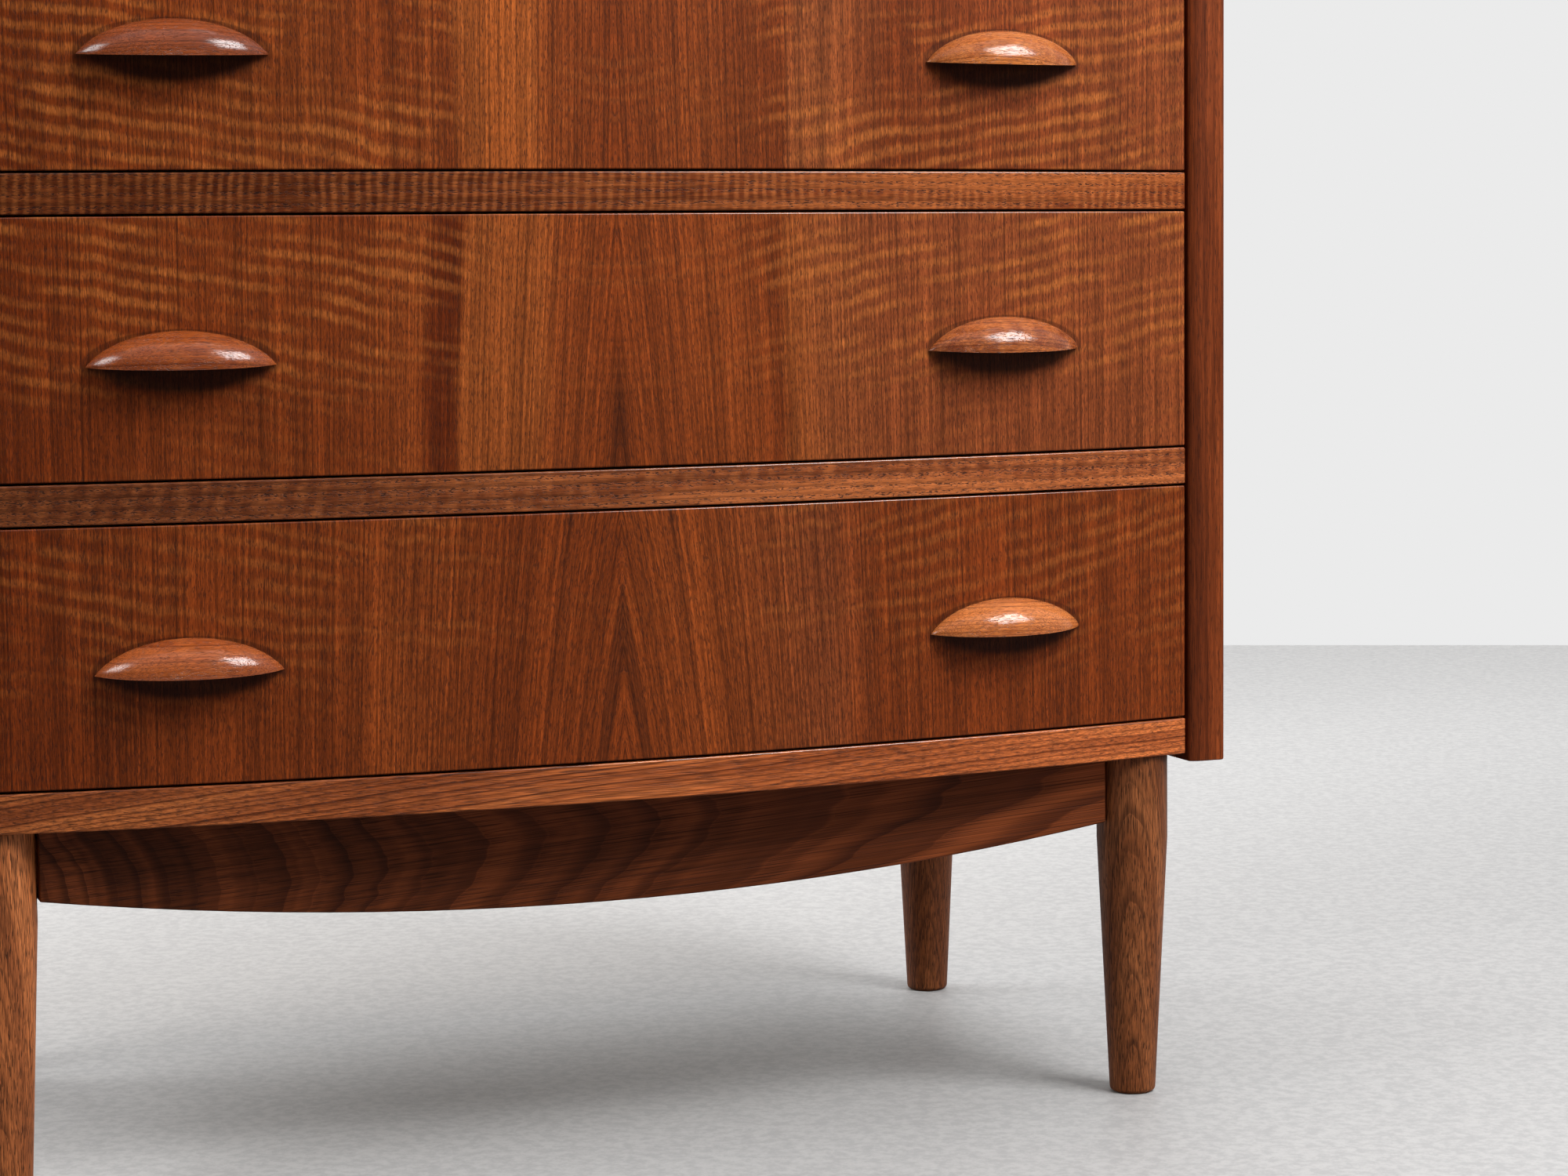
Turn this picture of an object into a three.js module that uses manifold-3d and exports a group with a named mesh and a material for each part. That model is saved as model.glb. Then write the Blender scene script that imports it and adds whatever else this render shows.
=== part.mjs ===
import * as THREE from "three";
import { mergeVertices } from "three/addons/utils/BufferGeometryUtils.js";
import Module from "manifold-3d";

const wasm = await Module();
wasm.setup();

// Bow front chest of drawers, in millimetres: +Z is up, the drawers open toward -Y, and Y 0 is the line
// through the two ends of the bow.

// Case
const bayWidth = 746;
const sideThickness = 24;
const caseDepth = 372;
const bowRise = 33.5;
const railHeight = 22;
const openingHeight = 144;
const drawerCount = 4;
const railUnderside = 212;
const sideDrop = 5;

// Case joints
const fit = 0.25;
const lippingBack = 18;
const lippingProud = 3;
const tongueThickness = 6;
const tongueLength = 6;
const railBack = 50;
const railEndGap = 2;
const railTenonSetback = 9;
const railTenonInset = 3;
const railTenonThickness = 10;
const railTenonLength = 8;
const wearThickness = 4;
const housingDepth = 8;
const backThickness = 6;
const rebateWidth = 10;
const runnerWidth = 22;

// Lipping profile
const innerEaseWidth = 8.5;
const innerEaseDepth = 3.5;
const outerRound = 3;

// Legs and base
const legClearance = 6.75;
const frontLegSetback = 20;
const backLegInset = 25;
const legRadius = 21.75;
const footRadius = 14;
const legStraight = 52;
const footRound = 3;
const apronThickness = 18;
const apronHeight = 41;
const apronSag = 24.5;
const legTenonThickness = 10;
const legTenonDrop = 6;
const legTenonRise = 9;
const legTenonLength = 12;
const blockReach = 62;
const blockHeight = 30;

// Drawer boxes
const frontEndGap = 2.3;
const frontReveal = 1.25;
const frontThickness = 20;
const boardThickness = 12;
const sideClearance = 12;
const drawerRearGap = 16;
const lapThickness = 6;
const bottomLift = 10;
const panelThickness = 5;
const grooveDepth = 6;
const backDrop = 8;

// Dovetails
const tailCount = 3;
const tailShare = 0.62;
const tailSlopeShare = 1 / 7;

// Handles
const handleInset = 128.5;
const handleLength = 102;
const handleHeight = 19;
const handleReach = 21.5;
const handleLift = 62.5;
const lipDrop = 1.8;
const hollowLength = 66;
const hollowReach = 6.5;
const hollowHeight = 4.5;
const hollowSetback = 9.5;
const hollowDrop = 1.5;
const dowelRadius = 4;
const dowelLength = 12;
const dowelRoot = 4;
const dowelSpacing = 52;
const dowelLift = 7;

// Smoothness and cutting
const bowSteps = 24;
const legSteps = 28;
const roundSteps = 4;
const handleSteps = 16;
const handleTurns = 36;
const hollowSteps = 8;
const hollowTurns = 16;
const dowelTurns = 12;
const overrun = 20;
const weld = 1e-4;

// Derived positions
const halfBay = bayWidth / 2;
const halfWidth = halfBay + sideThickness;
const pitch = openingHeight + railHeight;
const topUnderside = railUnderside + drawerCount * pitch;
const caseTop = topUnderside + sideThickness;
const sideBottom = railUnderside - sideDrop;
const baseTop = railUnderside - fit;
const bowRadius = (halfBay * halfBay + bowRise * bowRise) / (2 * bowRise);
const backFace = caseDepth - backThickness;
const behindLipping = lippingBack + fit;
const behindRail = railBack + fit;
const bottomThickness = railHeight - wearThickness;
const tenonLift = (railHeight - railTenonThickness) / 2;
const tenonFront = lippingBack + railTenonSetback;
const tenonRear = railBack - railTenonInset;
const legSpread = halfBay - legRadius - legClearance;
const backLegSetback = caseDepth - backLegInset;
const halfDrawer = halfBay - frontEndGap;
const halfInside = halfDrawer - boardThickness;
const handleOffset = halfDrawer - handleInset;
const openingFloor = (number) => railUnderside + railHeight + (drawerCount - number) * pitch;
const railFloor = (number) => openingFloor(number) - railHeight;

// Y of the bow at an X, with the surface moved inward by an offset
function bowY(x, offset) {
  const radius = bowRadius - offset;
  return bowRadius - bowRise - Math.sqrt(radius * radius - x * x);
}

function bowLine(half, offset) {
  const points = [];
  for (let i = 0; i <= bowSteps; i += 1) {
    const x = half * ((2 * i) / bowSteps - 1);
    points.push([x, bowY(x, offset)]);
  }
  return points;
}

// Closed solids from geometries
function solid(geometry) {
  const plain = geometry.index ? geometry.toNonIndexed() : geometry;
  plain.deleteAttribute("normal");
  plain.deleteAttribute("uv");
  const merged = mergeVertices(plain, weld);
  const index = merged.index.array;
  const triangles = [];
  for (let i = 0; i < index.length; i += 3) {
    const [a, b, c] = [index[i], index[i + 1], index[i + 2]];
    if (a !== b && b !== c && c !== a) triangles.push(a, b, c);
  }
  return new wasm.Manifold(
    new wasm.Mesh({
      numProp: 3,
      vertProperties: merged.attributes.position.array,
      triVerts: new Uint32Array(triangles),
    }),
  );
}

function block(x0, x1, y0, y1, z0, z1) {
  const geometry = new THREE.BoxGeometry(x1 - x0, y1 - y0, z1 - z0);
  geometry.translate((x0 + x1) / 2, (y0 + y1) / 2, (z0 + z1) / 2);
  return solid(geometry);
}

function extrusion(outline, depth, matrix) {
  const shape = new THREE.Shape(outline.map(([a, b]) => new THREE.Vector2(a, b)));
  const geometry = new THREE.ExtrudeGeometry(shape, { depth, bevelEnabled: false });
  geometry.applyMatrix4(matrix);
  return solid(geometry);
}

// A plan outline in X and Y, raised from z0 to z1
function prism(outline, z0, z1) {
  return extrusion(outline, z1 - z0, new THREE.Matrix4().makeTranslation(0, 0, z0));
}

// An outline in X and Z, run from y0 to y1
function prismY(outline, y0, y1) {
  const matrix = new THREE.Matrix4().makeBasis(
    new THREE.Vector3(1, 0, 0),
    new THREE.Vector3(0, 0, 1),
    new THREE.Vector3(0, -1, 0),
  );
  return extrusion(outline, y1 - y0, matrix.setPosition(0, y1, 0));
}

// An outline in Y and Z, run from x0 to x1
function prismX(outline, x0, x1) {
  const matrix = new THREE.Matrix4().makeBasis(
    new THREE.Vector3(0, 1, 0),
    new THREE.Vector3(0, 0, 1),
    new THREE.Vector3(1, 0, 0),
  );
  return extrusion(outline, x1 - x0, matrix.setPosition(x0, 0, 0));
}

function cylinderY(x, z, radius, y0, y1, turns) {
  const geometry = new THREE.CylinderGeometry(radius, radius, y1 - y0, turns);
  geometry.translate(x, (y0 + y1) / 2, z);
  return solid(geometry);
}

const mirrored = (made) => made.mirror([1, 0, 0]);

// Finishes: solid teak, teak veneer, oak and plain birch
const finishes = {
  teak: [0x8a4a22, 0.45],
  veneer: [0x9c5a2c, 0.45],
  oak: [0x9a6a38, 0.5],
  birch: [0xcaa877, 0.65],
};
const chest = new THREE.Group();
chest.name = "bow_front_chest";

function shapeOf(made) {
  const mesh = made.getMesh();
  const count = mesh.numVert;
  const positions = new Float32Array(count * 3);
  for (let i = 0; i < count; i += 1) {
    const from = i * mesh.numProp;
    positions.set(mesh.vertProperties.subarray(from, from + 3), i * 3);
  }
  const geometry = new THREE.BufferGeometry();
  geometry.setAttribute("position", new THREE.BufferAttribute(positions, 3));
  geometry.setIndex(new THREE.BufferAttribute(mesh.triVerts, 1));
  geometry.computeVertexNormals();
  return geometry;
}

function add(parent, name, geometry, finish, x = 0, y = 0, z = 0) {
  const [color, roughness] = finishes[finish];
  const material = new THREE.MeshStandardMaterial({ color, roughness, metalness: 0 });
  const piece = new THREE.Mesh(geometry, material);
  piece.name = name;
  piece.position.set(x, y, z);
  parent.add(piece);
  return piece;
}

// A right-hand piece and its mirror image on the left
function addPair(parent, prefix, kind, made, finish, x = 0, y = 0, z = 0, turn = 0) {
  const right = add(parent, `${prefix}right_${kind}`, shapeOf(made), finish, x, y, z);
  const left = add(parent, `${prefix}left_${kind}`, shapeOf(mirrored(made)), finish, -x, y, z);
  right.rotation.z = turn;
  left.rotation.z = -turn;
}

// Side panels, mitred at the top and grooved for the lipping, the back, the bottom and the rails
const body = new THREE.Group();
chest.add(body);
let sidePanel = prismY(
  [
    [halfBay, sideBottom],
    [halfWidth, sideBottom],
    [halfWidth, caseTop - fit],
    [halfBay, topUnderside - fit],
  ],
  behindLipping,
  caseDepth,
);
const tongueX = halfBay + (sideThickness - tongueThickness) / 2;
const lippingGroove = block(
  tongueX - fit,
  tongueX + tongueThickness + fit,
  lippingBack - overrun,
  lippingBack + tongueLength + fit,
  sideBottom - overrun,
  caseTop + overrun,
);
sidePanel = sidePanel.subtract(lippingGroove);
sidePanel = sidePanel.subtract(
  block(
    halfBay - overrun,
    halfBay + rebateWidth,
    backFace - fit,
    caseDepth + overrun,
    sideBottom - overrun,
    caseTop + overrun,
  ),
);
sidePanel = sidePanel.subtract(
  block(
    halfBay - overrun,
    halfBay + housingDepth,
    behindRail - fit,
    caseDepth + overrun,
    railUnderside - fit,
    railUnderside + bottomThickness + fit,
  ),
);
for (let number = 1; number <= drawerCount; number += 1) {
  const mortiseFloor = railFloor(number) + tenonLift;
  sidePanel = sidePanel.subtract(
    block(
      halfBay - overrun,
      halfBay + railTenonLength + fit,
      tenonFront - fit,
      tenonRear + fit,
      mortiseFloor - fit,
      mortiseFloor + railTenonThickness + fit,
    ),
  );
}
addPair(body, "", "side_panel", sidePanel, "veneer");

// Side lippings: solid front edges with an eased inner corner and a rounded outer one
const lippingOutline = [[halfBay, lippingBack]];
for (let i = 0; i <= roundSteps; i += 1) {
  const turn = (Math.PI / 2) * (i / roundSteps);
  lippingOutline.push([
    halfBay + innerEaseWidth * (1 - Math.cos(turn)),
    innerEaseDepth * (1 - Math.sin(turn)) - lippingProud,
  ]);
}
for (let i = 0; i <= roundSteps; i += 1) {
  const turn = (Math.PI / 2) * (i / roundSteps);
  lippingOutline.push([
    halfWidth - outerRound * (1 - Math.sin(turn)),
    outerRound * (1 - Math.cos(turn)) - lippingProud,
  ]);
}
lippingOutline.push(
  [halfWidth, lippingBack],
  [tongueX + tongueThickness, lippingBack],
  [tongueX + tongueThickness, lippingBack + tongueLength],
  [tongueX, lippingBack + tongueLength],
  [tongueX, lippingBack],
);
addPair(body, "", "side_lipping", prism(lippingOutline, sideBottom, caseTop), "teak");

// Top panel, mitred to the sides, rebated for the back and grooved for its lipping
const topTongueZ = topUnderside + (sideThickness - tongueThickness) / 2;
let topPanel = prismY(
  [
    [fit - halfBay, topUnderside],
    [halfBay - fit, topUnderside],
    [halfWidth - fit, caseTop],
    [fit - halfWidth, caseTop],
  ],
  behindLipping,
  caseDepth,
);
topPanel = topPanel.subtract(
  block(
    -halfBay,
    halfBay,
    lippingBack - overrun,
    lippingBack + tongueLength + fit,
    topTongueZ - fit,
    topTongueZ + tongueThickness + fit,
  ),
);
topPanel = topPanel.subtract(
  block(
    -halfBay - rebateWidth,
    halfBay + rebateWidth,
    backFace - fit,
    caseDepth + overrun,
    topUnderside - overrun,
    topUnderside + rebateWidth,
  ),
);
topPanel = topPanel.subtract(lippingGroove).subtract(mirrored(lippingGroove));
add(body, "top_panel", shapeOf(topPanel), "veneer");

// Top lipping: the bowed front edge of the top
const lippingHalf = halfBay - fit;
const topLipping = prism(
  [...bowLine(lippingHalf, 0), [lippingHalf, lippingBack], [-lippingHalf, lippingBack]],
  topUnderside,
  caseTop,
).add(
  block(
    tongueLength - lippingHalf,
    lippingHalf - tongueLength,
    lippingBack - tongueLength,
    lippingBack + tongueLength,
    topTongueZ,
    topTongueZ + tongueThickness,
  ),
);
add(body, "top_lipping", shapeOf(topLipping), "teak");

// Rails: bowed like the fronts, short of the sides at the face, tenoned into them behind it
const railFaceHalf = halfBay - railEndGap;
const railOutline = [
  ...bowLine(railFaceHalf, 0),
  [railFaceHalf, lippingBack],
  [lippingHalf, lippingBack],
  [lippingHalf, railBack],
  [-lippingHalf, railBack],
  [-lippingHalf, lippingBack],
  [-railFaceHalf, lippingBack],
];
const railTenons = block(
  -halfBay - railTenonLength,
  halfBay + railTenonLength,
  tenonFront,
  tenonRear,
  tenonLift,
  tenonLift + railTenonThickness,
);
const rail = shapeOf(prism(railOutline, 0, railHeight).add(railTenons));
for (let number = 1; number <= drawerCount; number += 1) {
  const name = number < drawerCount ? `rail_${number}` : "bottom_rail";
  add(body, name, rail, "teak", 0, 0, railFloor(number));
}

// Bottom panel in the side housings, and the back in its rebates
const panelHalf = halfBay + housingDepth - fit;
const bottomPanel = block(
  -panelHalf,
  panelHalf,
  behindRail,
  backFace - fit,
  railUnderside,
  railUnderside + bottomThickness,
);
add(body, "bottom_panel", shapeOf(bottomPanel), "birch");
const backHalf = halfBay + rebateWidth - fit;
const backPanel = block(
  -backHalf,
  backHalf,
  backFace,
  caseDepth,
  railUnderside,
  topUnderside + rebateWidth - fit,
);
add(body, "back_panel", shapeOf(backPanel), "birch");

// Runners behind the rails, and wear strips on the bottom for the lowest drawer
const runnerBlank = (low) =>
  block(halfBay - runnerWidth, lippingHalf, behindRail, backFace - fit, low, railHeight);
const runner = runnerBlank(0);
for (let number = 1; number < drawerCount; number += 1) {
  addPair(body, "", `runner_${number}`, runner, "oak", 0, 0, railFloor(number));
}
const wearStrip = runnerBlank(bottomThickness + fit);
addPair(body, "", "wear_strip", wearStrip, "oak", 0, 0, railUnderside);

// Legs: straight at the top, tapered to the foot, mortised for the aprons
const base = new THREE.Group();
chest.add(base);
const legProfile = [new THREE.Vector2(0, 0)];
for (let i = 0; i <= roundSteps; i += 1) {
  const turn = (Math.PI / 2) * (i / roundSteps);
  legProfile.push(
    new THREE.Vector2(
      footRadius - footRound * (1 - Math.sin(turn)),
      footRound * (1 - Math.cos(turn)),
    ),
  );
}
legProfile.push(new THREE.Vector2(legRadius, baseTop - legStraight));
legProfile.push(new THREE.Vector2(legRadius, baseTop));
legProfile.push(new THREE.Vector2(0, baseTop));
const legGeometry = new THREE.LatheGeometry(legProfile, legSteps);
legGeometry.rotateX(Math.PI / 2);
const legBlank = solid(legGeometry);
const apronFloor = railUnderside - apronHeight;
const tenonTop = baseTop - legTenonDrop;
const tenonFloor = apronFloor + legTenonRise;
const halfTenon = legTenonThickness / 2;
const mortiseEnd = legRadius - legTenonLength - fit;
const mortiseX = block(
  -legRadius - overrun,
  -mortiseEnd,
  -halfTenon - fit,
  halfTenon + fit,
  tenonFloor - fit,
  tenonTop + fit,
);
const mortiseY = block(
  -halfTenon - fit,
  halfTenon + fit,
  mortiseEnd,
  legRadius + overrun,
  tenonFloor - fit,
  tenonTop + fit,
);
const frontLeg = legBlank.subtract(mortiseX).subtract(mortiseY);
const backLeg = legBlank.subtract(mortiseX).subtract(mortiseY.mirror([0, 1, 0]));
addPair(base, "", "front_leg", frontLeg, "oak", legSpread, frontLegSetback);
addPair(base, "", "back_leg", backLeg, "oak", legSpread, backLegSetback);

// Aprons: the front one sags in an arc, the others are straight
const apronHalf = legSpread - legRadius - fit;
const sagRadius = (apronHalf * apronHalf + apronSag * apronSag) / (2 * apronSag);
const halfApron = apronThickness / 2;
const apronTenons = block(
  -apronHalf - legTenonLength,
  apronHalf + legTenonLength,
  -halfTenon,
  halfTenon,
  tenonFloor,
  tenonTop,
);
const frontApronOutline = [
  [apronHalf, baseTop],
  [-apronHalf, baseTop],
];
for (let i = 0; i <= bowSteps; i += 1) {
  const x = apronHalf * ((2 * i) / bowSteps - 1);
  const drop = Math.sqrt(sagRadius * sagRadius - x * x) - (sagRadius - apronSag);
  frontApronOutline.push([x, apronFloor - drop]);
}
const frontApron = prismY(frontApronOutline, -halfApron, halfApron).add(apronTenons);
add(base, "front_apron", shapeOf(frontApron), "teak", 0, frontLegSetback);
const backApron = block(
  -apronHalf,
  apronHalf,
  -halfApron,
  halfApron,
  apronFloor,
  baseTop,
).add(apronTenons);
add(base, "back_apron", shapeOf(backApron), "teak", 0, backLegSetback);
const sideApronFront = frontLegSetback + legRadius + fit;
const sideApronBack = backLegSetback - legRadius - fit;
const sideApron = block(
  -halfApron,
  halfApron,
  sideApronFront,
  sideApronBack,
  apronFloor,
  baseTop,
).add(
  block(
    -halfTenon,
    halfTenon,
    sideApronFront - legTenonLength,
    sideApronBack + legTenonLength,
    tenonFloor,
    tenonTop,
  ),
);
addPair(base, "", "side_apron", sideApron, "teak", legSpread);

// Corner blocks that tie the aprons together inside each leg, measured from the leg's axis
const blockEdge = halfApron + fit;
const legSpaceGeometry = new THREE.CylinderGeometry(
  legRadius + fit,
  legRadius + fit,
  baseTop + overrun,
  legSteps,
);
legSpaceGeometry.rotateX(Math.PI / 2);
legSpaceGeometry.translate(0, 0, baseTop / 2);
const cornerBlock = prism(
  [
    [-blockEdge, blockEdge],
    [-blockEdge, blockEdge + blockReach],
    [-blockEdge - blockReach, blockEdge],
  ],
  baseTop - blockHeight,
  baseTop,
).subtract(solid(legSpaceGeometry));
const backCornerBlock = cornerBlock.mirror([0, 1, 0]);
addPair(base, "", "front_corner_block", cornerBlock, "birch", legSpread, frontLegSetback);
addPair(base, "", "back_corner_block", backCornerBlock, "birch", legSpread, backLegSetback);

// Tails between two heights, in Y and Z, from the shoulder to the end and grown by a clearance
function tails(low, high, shoulderY, endY, grow) {
  const sign = Math.sign(endY - shoulderY);
  const tailPitch = (high - low) / tailCount;
  const root = shoulderY - sign * boardThickness;
  const end = endY + sign * grow;
  const halfAt = (y) => (tailPitch * tailShare) / 2 + (y - shoulderY) * sign * tailSlopeShare + grow;
  const made = [];
  for (let i = 0; i < tailCount; i += 1) {
    const middle = low + (i + 0.5) * tailPitch;
    const corners = [
      [root, middle + halfAt(root)],
      [root, middle - halfAt(root)],
      [end, middle - halfAt(end)],
      [end, middle + halfAt(end)],
    ];
    made.push(sign > 0 ? corners : corners.reverse());
  }
  return made;
}

function tailSolids(list, x0, x1) {
  return list.map((outline) => prismX(outline, x0, x1)).reduce((all, one) => all.add(one));
}

// Handle: half of a pointed spindle, scribed to the bow, hollowed below for the fingers, on two dowels
function spindle(length, reach, height, steps, turns) {
  const half = length / 2;
  const radius = (half * half + reach * reach) / (2 * reach);
  const profile = [];
  for (let i = 0; i <= steps; i += 1) {
    const along = half * ((2 * i) / steps - 1);
    const width = Math.sqrt(radius * radius - along * along) - (radius - reach);
    profile.push(new THREE.Vector2(i % steps ? width : 0, along));
  }
  const geometry = new THREE.LatheGeometry(profile, turns);
  geometry.rotateZ(-Math.PI / 2);
  geometry.scale(1, 1, height / reach);
  return solid(geometry);
}

// The handle's own frame has its origin on the bow, with -Y pointing straight out of the face
const handleTurn = Math.asin(handleOffset / bowRadius);
const handleTurnDegrees = THREE.MathUtils.radToDeg(handleTurn);
const handleY = bowY(handleOffset, 0);
const lipTurn = THREE.MathUtils.radToDeg(Math.atan(lipDrop / handleReach));
const underHandle = block(
  -handleLength,
  handleLength,
  -handleLength,
  handleLength,
  -handleLength,
  0,
).rotate([lipTurn, 0, 0]);
const hollow = spindle(
  hollowLength,
  hollowReach,
  hollowHeight,
  hollowSteps,
  hollowTurns,
).translate([0, -hollowSetback, -hollowDrop]);
const dowelPair = (radius, depth) =>
  cylinderY(-dowelSpacing / 2, dowelLift, radius, -dowelRoot, depth, dowelTurns).add(
    cylinderY(dowelSpacing / 2, dowelLift, radius, -dowelRoot, depth, dowelTurns),
  );

// Plan of the bowed front, between an outer and an inner face
function bowBand(half, outer, inner) {
  return [...bowLine(half, outer), ...bowLine(half, inner).reverse()];
}

const behindFace = prism(
  bowBand(halfDrawer, -fit, frontThickness + overrun),
  -handleLength,
  handleLength,
)
  .translate([-handleOffset, -handleY, 0])
  .rotate([0, 0, -handleTurnDegrees]);
const handle = spindle(handleLength, handleReach, handleHeight, handleSteps, handleTurns)
  .subtract(underHandle)
  .subtract(hollow)
  .subtract(behindFace)
  .add(dowelPair(dowelRadius, dowelLength));
const dowelHoles = dowelPair(dowelRadius + fit, dowelLength + fit)
  .rotate([0, 0, handleTurnDegrees])
  .translate([handleOffset, handleY, handleLift]);

// One drawer, with Z 0 at the floor of its opening
const drawerRear = backFace - drawerRearGap;
const rearFace = drawerRear - boardThickness;
const sideTop = openingHeight - sideClearance;
const backFloor = bottomLift + panelThickness + fit;
const backTop = sideTop - backDrop;
const shoulder = bowY(halfDrawer, frontThickness) + fit;
const frontTails = (grow) => tails(fit, sideTop, shoulder, lapThickness, grow);
const rearTails = (grow) => tails(backFloor, backTop, rearFace, drawerRear, grow);

// Front: dovetail sockets, a groove for the bottom and holes for the handle dowels
const sockets = tailSolids(frontTails(fit), halfInside - fit, halfDrawer + overrun);
const frontGroove = prism(
  bowBand(halfInside - fit, frontThickness - grooveDepth, frontThickness + overrun),
  bottomLift - fit,
  bottomLift + panelThickness + fit,
);
const front = prism(
  bowBand(halfDrawer, 0, frontThickness),
  frontReveal,
  openingHeight - frontReveal,
)
  .subtract(sockets)
  .subtract(mirrored(sockets))
  .subtract(dowelHoles)
  .subtract(mirrored(dowelHoles))
  .subtract(frontGroove);

// Sides: tails at both ends, grooved for the bottom
const sideGroove = block(
  halfInside - overrun,
  halfInside + grooveDepth,
  lapThickness - overrun,
  drawerRear + overrun,
  bottomLift - fit,
  bottomLift + panelThickness + fit,
);
const frontSpace = prism(
  bowBand(halfDrawer + overrun, -overrun, frontThickness + fit),
  -overrun,
  openingHeight,
);
const backSpace = block(
  halfInside - overrun,
  halfDrawer + overrun,
  rearFace - fit,
  drawerRear + overrun,
  backFloor - fit,
  backTop + fit,
);
const side = block(halfInside, halfDrawer, lapThickness, drawerRear, fit, sideTop)
  .subtract(frontSpace)
  .subtract(backSpace)
  .add(tailSolids([...frontTails(0), ...rearTails(0)], halfInside, halfDrawer))
  .subtract(sideGroove);

// Back: sits on the bottom, socketed for the sides
const rearSockets = tailSolids(rearTails(fit), halfInside - fit, halfDrawer + overrun);
const back = block(-halfDrawer, halfDrawer, rearFace, drawerRear, backFloor, backTop)
  .subtract(rearSockets)
  .subtract(mirrored(rearSockets));

// Bottom: slid in from the back, its front edge bowed to sit in the front's groove
const tongueHalf = halfInside - fit - fit;
const grooveHalf = halfInside + grooveDepth - fit;
const bottomShoulder = shoulder + fit;
const bottom = prism(
  [
    ...bowLine(tongueHalf, frontThickness - grooveDepth + fit),
    [tongueHalf, bottomShoulder],
    [grooveHalf, bottomShoulder],
    [grooveHalf, drawerRear],
    [-grooveHalf, drawerRear],
    [-grooveHalf, bottomShoulder],
    [-tongueHalf, bottomShoulder],
  ],
  bottomLift,
  bottomLift + panelThickness,
);

// Four drawers, numbered from the top
const frontShape = shapeOf(front);
const backShape = shapeOf(back);
const bottomShape = shapeOf(bottom);
for (let number = 1; number <= drawerCount; number += 1) {
  const drawer = new THREE.Group();
  const prefix = `drawer_${number}_`;
  drawer.position.z = openingFloor(number);
  add(drawer, `${prefix}front`, frontShape, "veneer");
  addPair(drawer, prefix, "side", side, "birch");
  add(drawer, `${prefix}back`, backShape, "birch");
  add(drawer, `${prefix}bottom`, bottomShape, "birch");
  addPair(
    drawer,
    prefix,
    "handle",
    handle,
    "teak",
    handleOffset,
    handleY,
    handleLift,
    handleTurn,
  );
  chest.add(drawer);
}

// Middle of the chest's depth to Y 0
const bounds = new THREE.Box3().setFromObject(chest, true);
chest.position.y = -(bounds.min.y + bounds.max.y) / 2;

export default chest;
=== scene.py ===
import math

import bpy
from mathutils import Matrix, Vector


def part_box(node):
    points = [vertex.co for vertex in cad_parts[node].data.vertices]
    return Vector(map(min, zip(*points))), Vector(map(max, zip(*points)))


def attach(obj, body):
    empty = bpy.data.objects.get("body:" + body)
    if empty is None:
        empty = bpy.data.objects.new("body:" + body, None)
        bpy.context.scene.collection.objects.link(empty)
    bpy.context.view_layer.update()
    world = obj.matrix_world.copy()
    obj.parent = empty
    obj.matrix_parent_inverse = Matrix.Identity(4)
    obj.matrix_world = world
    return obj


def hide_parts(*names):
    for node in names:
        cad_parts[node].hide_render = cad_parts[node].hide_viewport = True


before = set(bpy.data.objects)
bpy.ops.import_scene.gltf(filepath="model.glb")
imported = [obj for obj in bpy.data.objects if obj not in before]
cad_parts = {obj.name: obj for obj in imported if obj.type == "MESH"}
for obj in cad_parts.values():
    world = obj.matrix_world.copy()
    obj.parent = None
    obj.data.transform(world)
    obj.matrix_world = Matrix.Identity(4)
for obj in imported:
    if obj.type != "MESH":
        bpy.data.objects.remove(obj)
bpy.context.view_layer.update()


# Camera: a little left of the chest and level with the third drawer, pitched slightly down. Its
# place and lens were found from the rails' bowed edges, the leg axes and the foot points.
camera = bpy.data.objects.new("camera", bpy.data.cameras.new("camera"))
bpy.context.scene.collection.objects.link(camera)
camera.data.sensor_width = 36.0
camera.data.lens = 77.49
camera.location = (-0.57676, -2.00181, 0.50947)
camera.rotation_euler = [math.radians(turn) for turn in (84.6377, 0.67684, -20.5548)]
bpy.context.scene.camera = camera
bpy.context.scene.view_settings.view_transform = "Standard"


# Legs: four turned legs of stained oak, straight where the aprons are tenoned into them and
# tapered to a foot with an eased rim. The grain runs upright, with dark rings and open pores.
LEG_RADIUS, FOOT_RADIUS, LEG_STRAIGHT = 0.02175, 0.0140, 0.052
HEAD_EASE, FOOT_EASE = 0.0008, 0.003


def srgb(red, green, blue):
    """A colour given as 0 to 255, as a shader socket takes it."""
    linear = [((c / 255 + 0.055) / 1.055) ** 2.4 for c in (red, green, blue)]
    return (*linear, 1.0)


def node(tree, kind, inputs=(), **settings):
    """One shader node. Each input is a value, or a socket to link."""
    made = tree.nodes.new("ShaderNode" + kind)
    for key, value in settings.items():
        setattr(made, key, value)
    for key, value in dict(inputs).items():
        if isinstance(value, bpy.types.NodeSocket):
            tree.links.new(value, made.inputs[key])
        else:
            made.inputs[key].default_value = value
    return made


def calc(tree, operation, *values):
    """The result of one sum on numbers or sockets."""
    return node(tree, "Math", enumerate(values), operation=operation).outputs[0]


def eased(tree, value, low, high, start=0.0, end=1.0):
    """value, eased from low..high onto start..end."""
    ends = {"Value": value, "From Min": low, "From Max": high, "To Min": start, "To Max": end}
    return node(tree, "MapRange", ends, interpolation_type="SMOOTHSTEP").outputs[0]


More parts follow.
